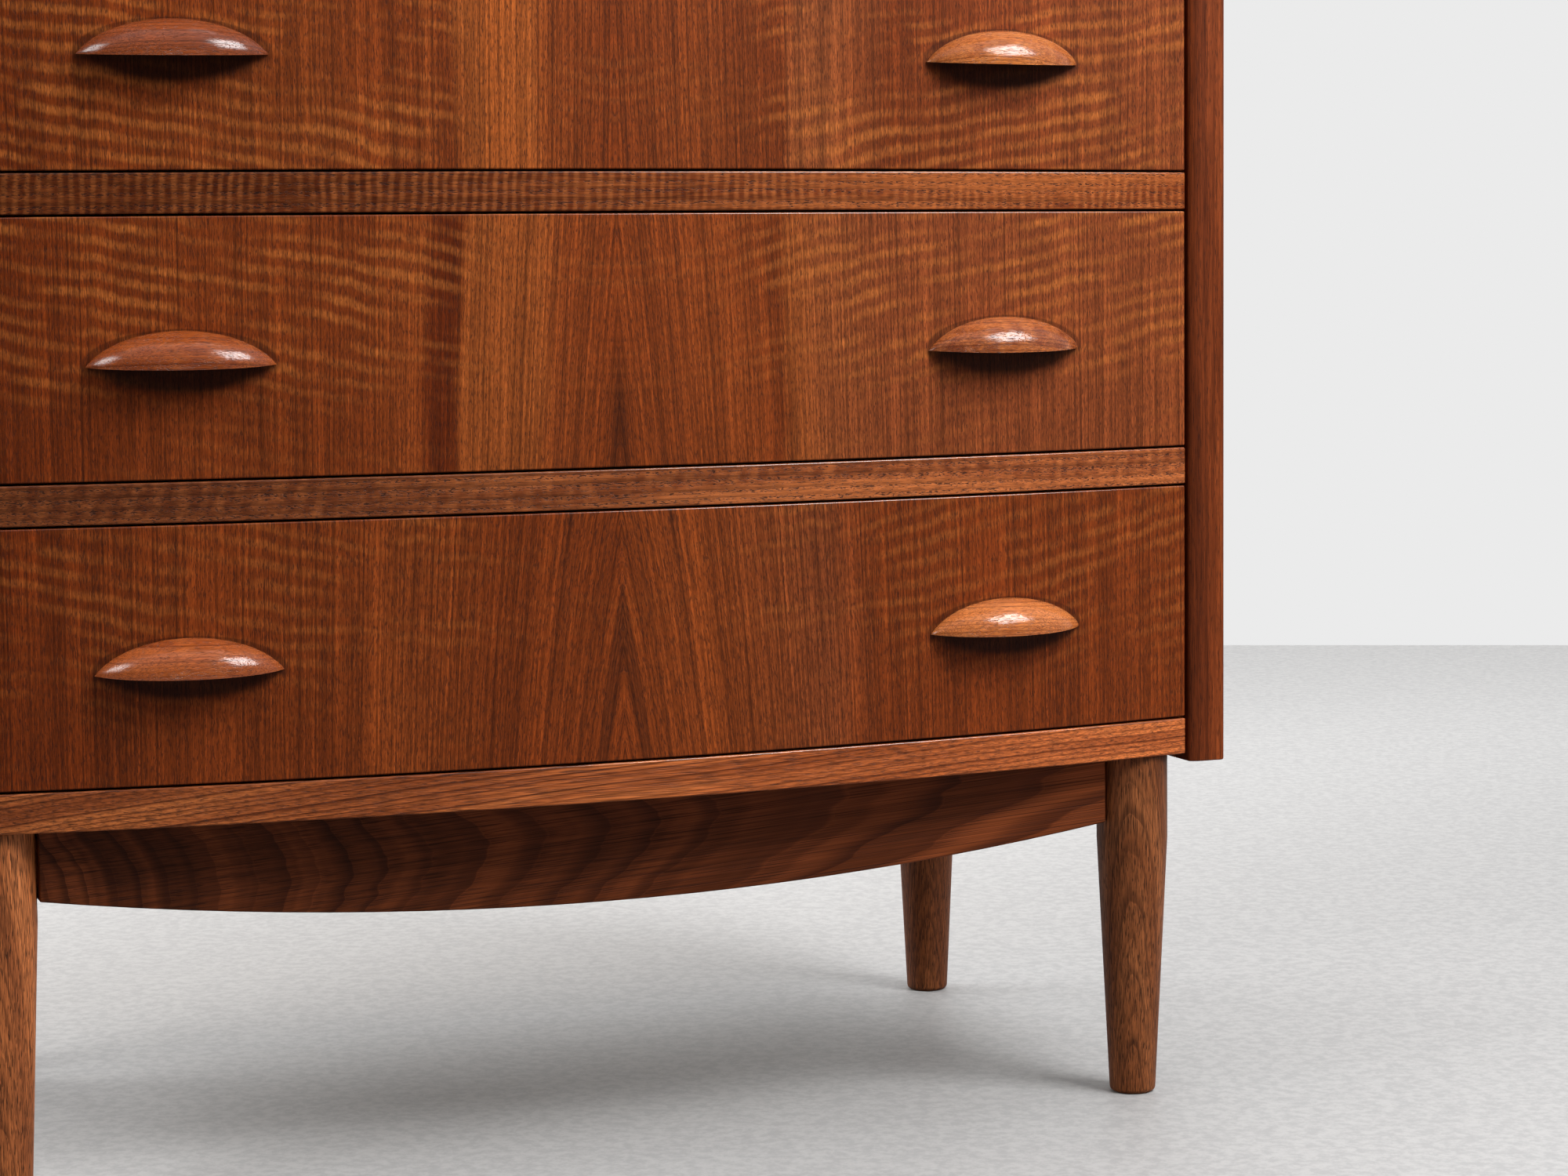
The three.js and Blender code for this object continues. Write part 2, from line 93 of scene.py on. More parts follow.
def noise(tree, position, stretch, detail, roughness=0.5):
    """Soft noise whose features are about as long as stretch says, in millimetres."""
    size = [1 / length for length in stretch]
    scaled = node(tree, "VectorMath", {0: position, 1: size}, operation="MULTIPLY").outputs[0]
    settings = {"Vector": scaled, "Scale": 1.0, "Detail": detail, "Roughness": roughness}
    return node(tree, "TexNoise", settings).outputs[0]


def mixed(tree, share, first, second, blend="MIX"):
    """Two colours mixed."""
    made = node(tree, "Mix", {0: share, 6: first, 7: second}, data_type="RGBA", blend_type=blend)
    return made.outputs[2]


def shaded(tree, colour, strength):
    """A colour made darker or paler by a number."""
    grey = node(tree, "CombineColor", {0: strength, 1: strength, 2: strength}).outputs[0]
    return mixed(tree, 1.0, colour, grey, "MULTIPLY")


def effect(name, inputs, outputs):
    """An empty node group with its sockets, and its input and output nodes."""
    tree = bpy.data.node_groups.new(name, "ShaderNodeTree")
    for title, value in inputs.items():
        kind = "NodeSocketVector" if value is None else "NodeSocketFloat"
        socket = tree.interface.new_socket(title, in_out="INPUT", socket_type=kind)
        if value is not None:
            socket.default_value = value
    for title in outputs:
        tree.interface.new_socket(title, in_out="OUTPUT", socket_type="NodeSocketFloat")
    return tree, tree.nodes.new("NodeGroupInput").outputs, tree.nodes.new("NodeGroupOutput").inputs


# Timber: what a sawn board shows, with lengths in millimetres and the grain along Z. Rings are
# the dark late-wood lines, Tone the broad bands, Fibre the fine streaks and Pores the open pores.
timber, given, shown = effect(
    "timber",
    {
        "Position": None,
        "Heart X": -300.0,
        "Heart Y": 0.0,
        "Taper": 0.0,
        "Ring Width": 4.0,
        "Waver": 3.0,
        "Pore Width": 0.5,
        "Pore Length": 6.0,
        "Pore Share": 0.0,
        "Pore Rows": 0.045,
        "Evenness": 0.25,
        "Seed": 0.0,
    },
    ("Rings", "Tone", "Fibre", "Pores"),
)
shift = node(timber, "CombineXYZ", {"Z": calc(timber, "MULTIPLY", given["Seed"], 173.0)}).outputs[0]
place = node(timber, "VectorMath", {0: given["Position"], 1: shift}).outputs[0]
split = node(timber, "SeparateXYZ", {0: given["Position"]}).outputs
across = calc(timber, "SUBTRACT", split[0], given["Heart X"])
deep = calc(timber, "SUBTRACT", split[1], given["Heart Y"])
radius = calc(timber, "SQRT", calc(timber, "ADD", calc(timber, "MULTIPLY", across, across),
                                  calc(timber, "MULTIPLY", deep, deep)))
radius = calc(timber, "ADD", radius, calc(timber, "MULTIPLY", split[2], given["Taper"]))
sway = calc(timber, "SUBTRACT", noise(timber, place, (45, 45, 240), 3), 0.5)
fine_sway = calc(timber, "SUBTRACT", noise(timber, place, (9, 9, 50), 2), 0.5)
radius = calc(timber, "MULTIPLY_ADD", sway, calc(timber, "MULTIPLY", given["Waver"], 2.0), radius)
small = calc(timber, "MINIMUM", calc(timber, "MULTIPLY", given["Waver"], 0.37), 2.4)
radius = calc(timber, "MULTIPLY_ADD", fine_sway, small, radius)
ring = calc(timber, "DIVIDE", radius, given["Ring Width"])
along_ring = node(timber, "CombineXYZ", {"X": ring, "Y": given["Seed"]}).outputs[0]
uneven = calc(timber, "SUBTRACT", noise(timber, along_ring, (3.5, 1, 1), 1), 0.5)
ring = calc(timber, "MULTIPLY_ADD", uneven, 2.4, ring)
part = calc(timber, "FRACT", ring)
number = node(timber, "CombineXYZ", {"X": calc(timber, "FLOOR", ring), "Y": given["Seed"]}).outputs[0]
chance = node(timber, "TexWhiteNoise", {0: number}, noise_dimensions="2D").outputs[0]
late = calc(timber, "MULTIPLY", eased(timber, part, 0.5, 0.93), eased(timber, part, 1.0, 0.95))
late = calc(timber, "MULTIPLY", late, eased(timber, chance, 0.0, 1.0, given["Evenness"], 1.0))
timber.links.new(late, shown["Rings"])
band = node(timber, "CombineXYZ", {"X": radius, "Y": calc(timber, "MULTIPLY", given["Seed"], 31.0),
                                   "Z": split[2]}).outputs[0]
timber.links.new(noise(timber, band, (15, 1, 420), 3, 0.6), shown["Tone"])
timber.links.new(noise(timber, place, (0.7, 0.7, 28), 3, 0.65), shown["Fibre"])
thick = calc(timber, "DIVIDE", 1.0, given["Pore Width"])
long = calc(timber, "DIVIDE", 1.0, given["Pore Length"])
stretch = node(timber, "CombineXYZ", {"X": thick, "Y": thick, "Z": long}).outputs[0]
spot = node(timber, "VectorMath", {0: place, 1: stretch}, operation="MULTIPLY").outputs[0]
pore = node(timber, "TexNoise", {"Vector": spot, "Scale": 1.0, "Detail": 1.0}).outputs[0]
sparse = calc(timber, "MULTIPLY", given["Pore Rows"], -0.45)
early = eased(timber, part, 0.0, 0.75, given["Pore Rows"], sparse)
pore = calc(timber, "ADD", calc(timber, "ADD", pore, early), given["Pore Share"])
timber.links.new(eased(timber, pore, 0.60, 0.70), shown["Pores"])


def finish(material, colour, shine, bump, depth, specular):
    """The surface shader of one wood: its colour, its roughness and its relief."""
    tree = material.node_tree
    surface = tree.nodes["Principled BSDF"]
    surface.inputs["Specular IOR Level"].default_value = specular
    tree.links.new(colour, surface.inputs["Base Color"])
    tree.links.new(shine, surface.inputs["Roughness"])
    relief = node(tree, "Bump", {"Strength": 0.6, "Distance": depth, "Height": bump}).outputs[0]
    tree.links.new(relief, surface.inputs["Normal"])
    return material


GRAIN_TURNS = {"Z": (0.0, 0.0, 0.0), "X": (0.0, math.pi / 2, 0.0), "Y": (math.pi / 2, 0.0, 0.0)}
TO_MILLIMETRES = (1000.0,) * 3
LEFT_END, RIGHT_END = -0.4, 0.4  # the chest's ends, in metres


def board_position(tree, grain):
    """A place on the piece in millimetres, turned so that its grain runs along Z."""
    place = node(tree, "TexCoord").outputs["Object"]
    turned = {"Vector": place, "Rotation": GRAIN_TURNS[grain], "Scale": TO_MILLIMETRES}
    return node(tree, "Mapping", turned).outputs[0]


def solid_wood(name, grain, pale, middle, deep, line, pore, ring=(4.0, 3.0, 0.0), heart=(-300.0, 0.0),
               pores=(0.5, 6.0, 0.6, 0.0), lines=0.6, fibre=0.35, seed=0.0, rough=(0.34, 0.5),
               specular=0.2, figure=None, swerve=None, tone_and_light_fade=(1.0, 1.0), relief=0.00012, even=0.25,
               rows=0.045):
    """A solid board, in its five colours from pale wood to open pore. ring is width, waver and taper,
    heart is where the tree's middle was, and pores are width, length, strength and share.
    tone_and_light_fade is how bright the board is toward the chest's left and right ends, partly its
    own tone and partly painted light. figure adds curl, and swerve bends the grain."""
    material = bpy.data.materials.new(name)
    material.use_nodes = True
    tree = material.node_tree
    place = board_position(tree, grain)
    if swerve is not None:
        place = swerve(tree, place)
    cut = {"Position": place, "Heart X": heart[0], "Heart Y": heart[1], "Taper": ring[2], "Seed": seed,
           "Ring Width": ring[0], "Waver": ring[1], "Pore Width": pores[0], "Pore Length": pores[1],
           "Pore Share": pores[3], "Pore Rows": rows, "Evenness": even}
    wood = node(tree, "Group", cut, node_tree=timber).outputs
    tint = node(tree, "ValToRGB", {0: eased(tree, wood["Tone"], 0.3, 0.7)})
    stops = tint.color_ramp.elements
    stops[0].color, stops[1].color = srgb(*deep), srgb(*pale)
    stops.new(0.5).color = srgb(*middle)
    colour = tint.outputs[0]
    if figure is not None:
        colour = mixed(tree, figure(tree, place), colour, srgb(*pale))
    colour = mixed(tree, calc(tree, "MULTIPLY", wood["Rings"], lines), colour, srgb(*line))
    streak = eased(tree, wood["Fibre"], 0.3, 0.7, 1 - fibre, 1 + fibre * 0.6)
    # The board is made darker or lighter from the chest's left end to its right: partly its own tone,
    # partly painted light.
    across = node(tree, "SeparateXYZ", {0: node(tree, "TexCoord").outputs["Object"]}).outputs[0]
    streak = calc(tree, "MULTIPLY", streak, eased(tree, across, LEFT_END, RIGHT_END, *tone_and_light_fade))
    colour = shaded(tree, colour, streak)
    colour = mixed(tree, calc(tree, "MULTIPLY", wood["Pores"], pores[2]), colour, srgb(*pore))
    shine = eased(tree, calc(tree, "ADD", wood["Pores"], calc(tree, "MULTIPLY", wood["Fibre"], 0.6)),
                  0.1, 1.3, rough[0], rough[1])
    height = calc(tree, "SUBTRACT", calc(tree, "MULTIPLY", wood["Fibre"], 0.35), wood["Pores"])
    return finish(material, colour, shine, height, relief, specular)


LEG_ACROSS, FRONT_LEGS, BACK_LEGS = 344.5, -145, 182  # the legs' axes, in millimetres
HEART_RIGHT, HEART_BEHIND = 38.0, 84.0  # the heart of the tree, from a leg's axis
# Each leg's brightness and its fade are painted light: the left front leg is painted lighter and the back
# legs darker, as the lamps fall on them.
leg_cuts = (  # side, depth, seed and brightness
    (-1, FRONT_LEGS, 2.0, 1.17),
    (1, FRONT_LEGS, 5.0, 0.92),
    (-1, BACK_LEGS, 9.0, 0.8),
    (1, BACK_LEGS, 14.0, 0.8),
)
leg_oak = [
    solid_wood(
        f"stained_oak_{number}", "Z",
        (202, 123, 72), (168, 96, 52), (131, 71, 37), (84, 43, 21), (50, 25, 12),
        ring=(1.7, 3.6, -0.11), heart=(side * LEG_ACROSS + HEART_RIGHT, depth + HEART_BEHIND),
        pores=(0.5, 9.0, 0.8, 0.045), lines=0.66, fibre=0.48, tone_and_light_fade=(1.06 * light, 0.76 * light), even=0.6,
        seed=seed, rough=(0.4, 0.58),
    )
    for number, (side, depth, seed, light) in enumerate(leg_cuts)
]


def only(obj):
    """Selects one object and makes it the active one."""
    bpy.ops.object.select_all(action="DESELECT")
    obj.select_set(True)
    bpy.context.view_layer.objects.active = obj


def pick_rim(obj, height):
    """In edit mode, selects only the level edges at this height."""
    bpy.ops.mesh.select_mode(type="EDGE")
    bpy.ops.mesh.select_all(action="DESELECT")
    bpy.ops.object.mode_set(mode="OBJECT")
    for edge in obj.data.edges:
        edge.select = all(abs(obj.data.vertices[v].co.z - height) < 1e-5 for v in edge.vertices)
    bpy.ops.object.mode_set(mode="EDIT")


def smooth(obj, angle=40.0):
    """Shades round faces as round, and keeps flat ones flat up to their eased arrises."""
    only(obj)
    bpy.ops.object.shade_smooth_by_angle(angle=math.radians(angle))
    even = obj.modifiers.new("even", "WEIGHTED_NORMAL")
    even.keep_sharp = True
    bpy.ops.object.modifier_apply(modifier="even")


def give(obj, material, body, nodes):
    """Gives a finished piece its material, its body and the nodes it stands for."""
    obj.data.materials.clear()
    obj.data.materials.append(material)
    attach(obj, body)
    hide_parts(*nodes)


leg_names = ("left_front_leg", "right_front_leg", "left_back_leg", "right_back_leg")
for number, name in enumerate(leg_names):
    low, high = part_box(name)
    centre = (low + high) / 2
    bpy.ops.object.select_all(action="DESELECT")
    bpy.ops.mesh.primitive_circle_add(
        vertices=72, radius=LEG_RADIUS, fill_type="NGON", location=(centre.x, centre.y, high.z)
    )
    leg = bpy.context.object
    leg.name = name.replace("_leg", "_turned_leg")
    bpy.ops.object.transform_apply(location=True)
    bpy.ops.object.mode_set(mode="EDIT")
    bpy.ops.mesh.select_mode(type="FACE")
    bpy.ops.mesh.select_all(action="SELECT")
    bpy.ops.mesh.extrude_region_move(TRANSFORM_OT_translate={"value": (0, 0, -LEG_STRAIGHT)})
    taper = low.z - high.z + LEG_STRAIGHT
    bpy.ops.mesh.extrude_region_move(TRANSFORM_OT_translate={"value": (0, 0, taper)})
    narrower = FOOT_RADIUS / LEG_RADIUS
    bpy.ops.transform.resize(value=(narrower, narrower, 1), center_override=(centre.x, centre.y, 0))
    bpy.ops.mesh.select_all(action="SELECT")
    bpy.ops.mesh.normals_make_consistent(inside=False)
    pick_rim(leg, low.z)
    bpy.ops.mesh.bevel(offset=FOOT_EASE, segments=6, profile=0.5)
    pick_rim(leg, high.z)
    bpy.ops.mesh.bevel(offset=HEAD_EASE, segments=3, profile=0.5)
    bpy.ops.object.mode_set(mode="OBJECT")
    smooth(leg, 30)
    give(leg, leg_oak[number], "carcass", [name])


# Aprons: four boards between the legs, tenoned into them. The front one is teak and sags in an
# arc along its lower edge, with tall arches in the grain of its left part.
APRON_EASE = 0.0012
HALF_CLEAR = 373.0  # half the clear width between the side panels, in millimetres
ARCH_LENGTH, ARCH_STRETCH = 260.0, 190.0  # over what length the rings crowd, and how much
HEART_SLOPE, HEART_DROP = 0.068, 17.0  # how their middle climbs along the board


def eased_board(name, title, edge):
    """A copy of a CAD board with its doubles merged and its arrises eased to this width."""
    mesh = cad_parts[name].data.copy()
    mesh.materials.clear()
    board = bpy.data.objects.new(title, mesh)
    bpy.context.scene.collection.objects.link(board)
    only(board)
    bpy.ops.object.mode_set(mode="EDIT")
    bpy.ops.mesh.select_mode(type="FACE")
    bpy.ops.mesh.select_all(action="SELECT")
    bpy.ops.mesh.remove_doubles(threshold=1e-5)
    bpy.ops.mesh.dissolve_limited(angle_limit=math.radians(0.25))
    bpy.ops.object.mode_set(mode="OBJECT")
    ease = board.modifiers.new("ease", "BEVEL")
    ease.width, ease.segments, ease.limit_method = edge, 3, "ANGLE"
    ease.angle_limit = math.radians(30)
    ease.miter_outer = "MITER_ARC"
    ease.use_clamp_overlap = False
    bpy.ops.object.modifier_apply(modifier="ease")
    smooth(board)
    return board


def dress_board(name, title, edge, material, body="carcass"):
    """Puts an eased copy of a CAD board in that board's place."""
    give(eased_board(name, title, edge), material, body, [name])


def arches(tree, place):
    """Crowds the rings toward the left end, and lets their middle climb toward the right."""
    split = node(tree, "SeparateXYZ", {0: place}).outputs
    along = calc(tree, "DIVIDE", calc(tree, "SUBTRACT", split[2], HALF_CLEAR), ARCH_LENGTH)
    along = calc(tree, "MULTIPLY", calc(tree, "POWER", math.e, along), -ARCH_STRETCH)
    up = calc(tree, "ADD", calc(tree, "MULTIPLY_ADD", split[2], HEART_SLOPE, -HEART_DROP), split[0])
    return node(tree, "CombineXYZ", {0: up, 1: split[1], 2: along}).outputs[0]


apron_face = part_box("front_apron")[0].y * 1000
# Its fade is painted light: the apron is darker toward the left end and lighter toward the right.
apron_teak = solid_wood(
    "apron_teak", "X", (134, 68, 34), (108, 53, 25), (90, 43, 19), (44, 17, 9), (30, 13, 6),
    ring=(10.0, 9.0, 1.5), heart=(173.0, apron_face + 60.0), specular=0.12, tone_and_light_fade=(0.74, 1.42),
    pores=(0.5, 7.0, 0.6, 0.03), lines=0.62, seed=3.0, rough=(0.4, 0.55), swerve=arches, even=0.5,
)
PLAIN_TEAK = (130, 72, 38), (104, 55, 28), (84, 42, 22), (60, 28, 14), (36, 18, 10)
side_apron_teak = solid_wood(
    "apron_side_teak", "Y", *PLAIN_TEAK, ring=(3.5, 3.0, 0.0), heart=(0.0, 400.0), seed=4.0
)
back_apron_teak = solid_wood(
    "apron_back_teak", "X", *PLAIN_TEAK, ring=(3.5, 3.0, 0.0), heart=(500.0, 0.0), seed=6.0
)
for name, material in (("front_apron", apron_teak), ("back_apron", back_apron_teak),
                       ("left_side_apron", side_apron_teak), ("right_side_apron", side_apron_teak)):
    dress_board(name, name.replace("apron", "apron_board"), APRON_EASE, material)


# Corner blocks: four plain beech blocks, glued into the corners behind the aprons. The base is
# screwed up to the case through them.
BLOCK_EASE = 0.001
beech = solid_wood(
    "waxed_beech", "Y", (206, 168, 122), (190, 150, 104), (172, 130, 86), (150, 108, 68), (128, 88, 54),
    ring=(2.6, 2.0, 0.0), heart=(0.0, 260.0), pores=(0.35, 3.0, 0.5, 0.0), lines=0.35, fibre=0.16, seed=8.0,
    rough=(0.5, 0.66),
)
for side in ("left", "right"):
    for end in ("front", "back"):
        name = f"{side}_{end}_corner_block"
        dress_board(name, name.replace("corner_block", "glue_block"), BLOCK_EASE, beech)


# Side panels: boards faced with straight teak veneer, upright grain, housed for the bottom and
# rebated for the back. The top is faced the same way, with its grain along the chest.
PANEL_EASE = 0.0008
side_veneer = solid_wood(
    "side_veneer", "Z", (158, 90, 47), (134, 71, 35), (112, 56, 27), (88, 41, 19), (60, 29, 14),
    ring=(5.5, 8.0, 0.02), heart=(60.0, -420.0), pores=(0.45, 6.0, 0.55, 0.02), lines=0.55, seed=11.0,
    rough=(0.36, 0.48),
)
top_veneer = solid_wood(
    "top_veneer", "X", (160, 92, 48), (136, 72, 36), (114, 57, 28), (90, 42, 20), (60, 29, 14),
    ring=(9.0, 10.0, 0.05), heart=(800.0, -30.0), pores=(0.45, 6.0, 0.55, 0.02), lines=0.6, seed=13.0,
    rough=(0.55, 0.68), specular=0.1,
)
dress_board("left_side_panel", "left_side_board", PANEL_EASE, side_veneer)
dress_board("right_side_panel", "right_side_board", PANEL_EASE, side_veneer)
dress_board("top_panel", "top_board", PANEL_EASE, top_veneer)


# Lippings: solid teak on the front edges of sides and top, tongued into them and standing proud,
# with a rounded outer arris and a wide chamfer toward the drawers.
ARRIS_EASE = 0.0009
for number, (side, heart_x, seed) in enumerate((("left", -120.0, 17.0), ("right", 120.0, 19.0))):
    lipping_teak = solid_wood(
        f"lipping_teak_{number}", "Z",
        (146, 70, 32), (120, 54, 22), (94, 40, 15), (66, 26, 10), (44, 18, 8),
        ring=(4.5, 2.5, 0.004), heart=(heart_x, -300.0), pores=(0.4, 7.0, 0.6, 0.03), lines=0.65,
        fibre=0.42, seed=seed, rough=(0.4, 0.5), specular=0.14,
    )
    dress_board(f"{side}_side_lipping", f"{side}_lipping_strip", ARRIS_EASE, lipping_teak)
top_teak = solid_wood(
    "top_lipping_teak", "X", (146, 76, 39), (126, 61, 31), (106, 48, 24), (84, 36, 17), (58, 26, 12),
    ring=(5.0, 3.0, 0.01), heart=(700.0, -160.0), pores=(0.4, 7.0, 0.6, 0.03), lines=0.65, seed=23.0,
    rough=(0.55, 0.68), specular=0.1,
)
dress_board("top_lipping", "top_lipping_strip", ARRIS_EASE, top_teak)


# Rails: bowed strips of solid teak between the drawers, grain along the bow, housed in the sides.
# The two upper ones are curly, the third a little, and the bottom one is paler and plain. The curl
# group draws the ripples of curly wood.
curl, given, shown = effect(
    "curl",
    {
        "Position": None,
        "Pitch": 9.0,
        "Slant": 0.0,
        "Seed": 0.0,
        "Break": 0.5,
        "Bend": 3.0,
        "Share": 0.0,
    },
    ("Curl",),
)
split = node(curl, "SeparateXYZ", {0: given["Position"]}).outputs
shift = node(curl, "CombineXYZ", {"Y": calc(curl, "MULTIPLY", given["Seed"], 57.0)}).outputs[0]
place = node(curl, "VectorMath", {0: given["Position"], 1: shift}).outputs[0]
bend = calc(curl, "SUBTRACT", noise(curl, place, (120, 120, 70), 2), 0.5)
strip = calc(curl, "SUBTRACT", noise(curl, place, (9, 9, 200), 3), 0.5)
wave = calc(curl, "MULTIPLY_ADD", split[0], given["Slant"], split[2])
wave = calc(curl, "DIVIDE", wave, given["Pitch"])
wave = calc(curl, "MULTIPLY_ADD", bend, given["Bend"], wave)
wave = calc(curl, "MULTIPLY_ADD", strip, given["Break"], wave)
wave = calc(curl, "SINE", calc(curl, "MULTIPLY", wave, 2 * math.pi))
patch = calc(curl, "ADD", noise(curl, place, (85, 85, 38), 3, 0.65), given["Share"])
patch = eased(curl, patch, 0.4, 0.66)
wave = eased(curl, wave, -0.8, 1.1)
curl.links.new(calc(curl, "MULTIPLY", wave, patch), shown["Curl"])


def curly(pitch, slant, strength, seed, mottle=0.25, share=0.0):
    """A figure for solid_wood: curl across the grain, with short bright patches."""
    def figure(tree, place):
        look = {"Position": place, "Pitch": pitch, "Slant": slant, "Seed": seed, "Share": share}
        wave = node(tree, "Group", look, node_tree=curl).outputs[0]
        patches = eased(tree, noise(tree, place, (7, 7, 9), 3, 0.7), 0.4, 0.68, 0.0, mottle)
        return calc(tree, "MULTIPLY_ADD", wave, strength, patches)
    return figure


BOW_HALF, BOW_RISE, BOW_TO_BACK = HALF_CLEAR / 1000, 0.0335, 0.372
bow_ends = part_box("back_panel")[1].y - BOW_TO_BACK
bow_radius = (BOW_HALF**2 + BOW_RISE**2) / (2 * BOW_RISE)
bow_centre = bow_ends + bow_radius - BOW_RISE


def from_bow_axis(tree):
    """How far a place is from the upright axis that the bow is drawn about, in metres."""
    place = node(tree, "TexCoord").outputs["Object"]
    offset = node(tree, "VectorMath", {0: place, 1: (0.0, -bow_centre, 0.0)}).outputs[0]
    level = node(tree, "VectorMath", {0: offset, 1: (1.0, 1.0, 0.0)}, operation="MULTIPLY").outputs[0]
    return node(tree, "VectorMath", {0: level}, operation="LENGTH").outputs["Value"]


def rubbed_arris(material, top):
    """Polish on the outer top arris of a bowed piece, where hands and cloths rub it. It covers the
    last millimetre below top, at the bow's face."""
    tree = material.node_tree
    surface = tree.nodes["Principled BSDF"]
    height = node(tree, "SeparateXYZ", {0: node(tree, "TexCoord").outputs["Object"]}).outputs[2]
    rubbed = eased(tree, height, top - 0.00105, top - 0.0008)
    outer = eased(tree, from_bow_axis(tree), bow_radius - 0.0015, bow_radius - 0.001)
    tree.links.new(calc(tree, "MULTIPLY", rubbed, outer), surface.inputs["Coat Weight"])
    surface.inputs["Coat Roughness"].default_value = 0.12


# Each rail's fade is painted light and painted sheen with some of its own tone: darker toward the left end,
# brighter toward the right.
rail_woods = {
    "rail_1": solid_wood(
        "curly_teak_1", "X", (172, 92, 42), (124, 60, 25), (100, 45, 17), (60, 25, 10), (36, 15, 7),
        ring=(6.0, 1.4, 0.0), heart=(1420.0, -160.0), pores=(0.5, 3.0, 0.8, -0.01), lines=0.5, fibre=0.42,
        seed=29.0, figure=curly(6.5, 0.08, 0.7, 2.0, share=0.12), tone_and_light_fade=(0.58, 1.08), rows=0.12,
    ),
    "rail_2": solid_wood(
        "curly_teak_2", "X", (180, 99, 49), (123, 56, 23), (99, 41, 14), (54, 22, 8), (34, 14, 6),
        ring=(6.5, 1.8, 0.0), heart=(1250.0, -160.0), pores=(0.5, 3.0, 0.8, -0.01), lines=0.55, fibre=0.42,
        seed=31.0, figure=curly(6.0, 0.05, 0.72, 5.0, share=0.12), tone_and_light_fade=(0.52, 1.05), rows=0.12,
        specular=0.14,
    ),
    "rail_3": solid_wood(
        "curly_teak_3", "X", (174, 97, 51), (127, 63, 30), (102, 47, 21), (56, 25, 10), (32, 14, 6),
        ring=(5.5, 1.6, 0.0), heart=(1090.0, -160.0), pores=(0.55, 2.6, 0.8, 0.01), lines=0.5, fibre=0.42,
        seed=37.0, figure=curly(11.0, 0.1, 0.3, 7.0, 0.45, 0.1), tone_and_light_fade=(0.66, 1.38), rows=0.1,
    ),
    "bottom_rail": solid_wood(
        "plain_rail_teak", "X", (206, 117, 61), (172, 91, 46), (142, 70, 32), (84, 36, 14), (56, 24, 10),
        ring=(3.2, 4.0, 0.07), heart=(60.0, -230.0), pores=(0.45, 34.0, 0.6, 0.02), lines=0.9, fibre=0.5,
        seed=41.0, rough=(0.32, 0.46), tone_and_light_fade=(0.78, 1.44), even=0.55,
    ),
}
for name, material in rail_woods.items():
    rubbed_arris(material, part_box(name)[1].z)
    dress_board(name, name.replace("rail", "bowed_rail"), ARRIS_EASE, material)


# Bottom, back, runners and wear strips: the case's parts out of sight. Bottom and back are birch
# plywood, in housings and rebates of the sides. The drawers slide on strips of waxed beech.
BACK_EASE, BOTTOM_EASE, RUNNER_EASE = 0.0005, 0.0006, 0.0008
birch_ply = solid_wood(
    "birch_plywood", "X", (222, 190, 148), (208, 172, 128), (192, 154, 110), (172, 132, 90), (150, 110, 72),
    ring=(11.0, 9.0, 0.05), heart=(300.0, -20.0), pores=(0.3, 3.0, 0.35, 0.0), lines=0.35, fibre=0.12,
    seed=43.0, rough=(0.5, 0.66),
)
back_ply = solid_wood(
    "back_plywood", "Z", (214, 180, 138), (200, 164, 120), (184, 146, 102), (164, 124, 84), (144, 104, 68),
    ring=(14.0, 16.0, 0.09), heart=(-40.0, 160.0), pores=(0.3, 3.0, 0.35, 0.0), lines=0.4, fibre=0.12,
    seed=47.0, rough=(0.52, 0.68),
)
dress_board("back_panel", "back_board", BACK_EASE, back_ply)
dress_board("bottom_panel", "bottom_board", BOTTOM_EASE, birch_ply)
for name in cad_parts:
    if "runner" in name or "wear_strip" in name:
        dress_board(name, f"{name}_planed", RUNNER_EASE, beech)


# Drawer boxes: oak sides dovetailed to the front and to an oak back. The bottom is birch plywood,
# slid into grooves.
DRAWER_EASE = 0.0006


def drawer_oak(title, grain, heart, seed):
    """Pale straight-grained oak, planed and waxed."""
    return solid_wood(
        title, grain, (206, 168, 118), (190, 150, 100), (172, 130, 84), (150, 108, 66), (122, 84, 48),
        ring=(2.4, 2.0, 0.0), heart=heart, pores=(0.45, 6.0, 0.6, 0.0), lines=0.45, fibre=0.2, seed=seed,
        rough=(0.5, 0.64),
    )


oak_along = drawer_oak("drawer_oak_side", "Y", (0.0, 500.0), 53.0)
oak_across = drawer_oak("drawer_oak_back", "X", (1200.0, 0.0), 59.0)
drawer_parts = (
    ("left_side", oak_along, "drawer_wood"),
    ("right_side", oak_along, "drawer_wood"),
    ("back", oak_across, "drawer_wood"),
    ("bottom", birch_ply, "plywood"),
)
for number in range(1, 5):
    drawer = f"drawer_{number}"
    for part, material, slot in drawer_parts:
        dress_board(f"{drawer}_{part}", f"{drawer}_{part}_board", DRAWER_EASE, material, drawer)


# Drawer fronts: bowed, faced with two leaves of teak opened like a book about the middle. Near
# the joint the lines part downward, and further out the grain ripples in slanting golden bands.
# Painted shade darkens the veneer in a line along each pull's crease, and a painted shadow falls beneath
# each pull.
PULL_ACROSS, PULL_UP = 242.2, 61.25  # a pull's middle from the joint and from the front's lower edge
